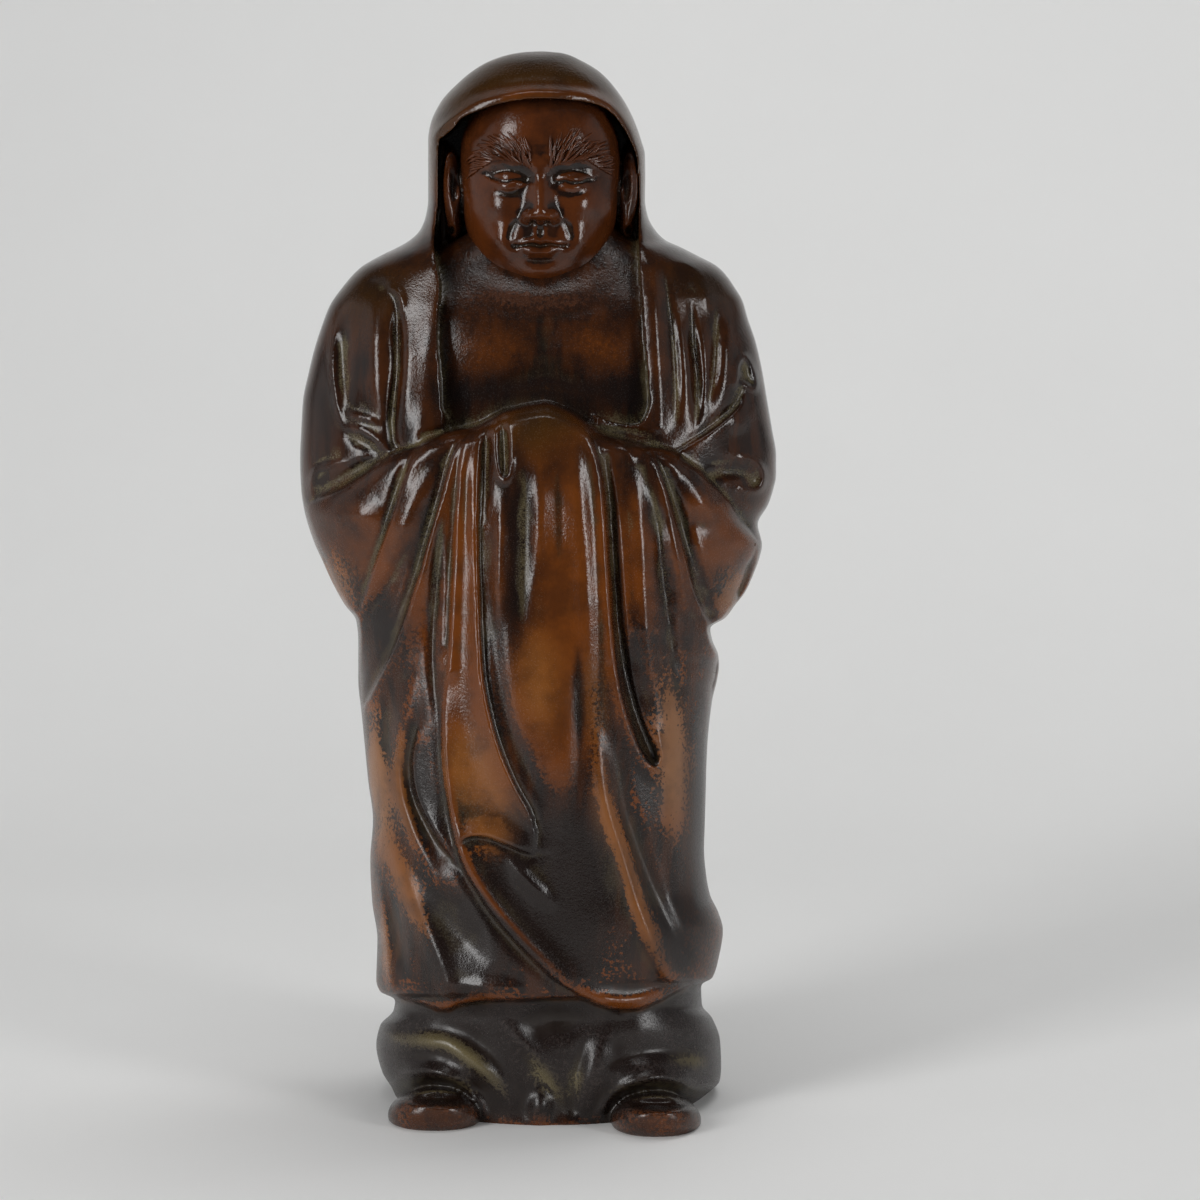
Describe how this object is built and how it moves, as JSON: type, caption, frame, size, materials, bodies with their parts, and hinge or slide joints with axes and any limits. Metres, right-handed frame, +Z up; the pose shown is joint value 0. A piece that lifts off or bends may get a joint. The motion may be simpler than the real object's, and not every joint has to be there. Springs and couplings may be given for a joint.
{
  "type": "standing hooded monk statue",
  "caption": "Standing hooded monk with both hands folded under wide sleeves, long robe in deep falling folds, skirt gathered over two shoe tips, glazed stoneware.",
  "frame": {"origin": "middle of the underside's bounding box, on the ground", "axes": "+Z up, -Y the way the figure faces, +X to its own left"},
  "size_m": [0.1584, 0.107, 0.35],
  "materials": {
    "glaze": "glossy red-brown glaze, blackish in the lower robe, olive pigment in the creases, rubbed orange-brown on the ridges"
  },
  "bodies": {
    "root": {"statue": "glaze"}
  },
  "joints": []
}
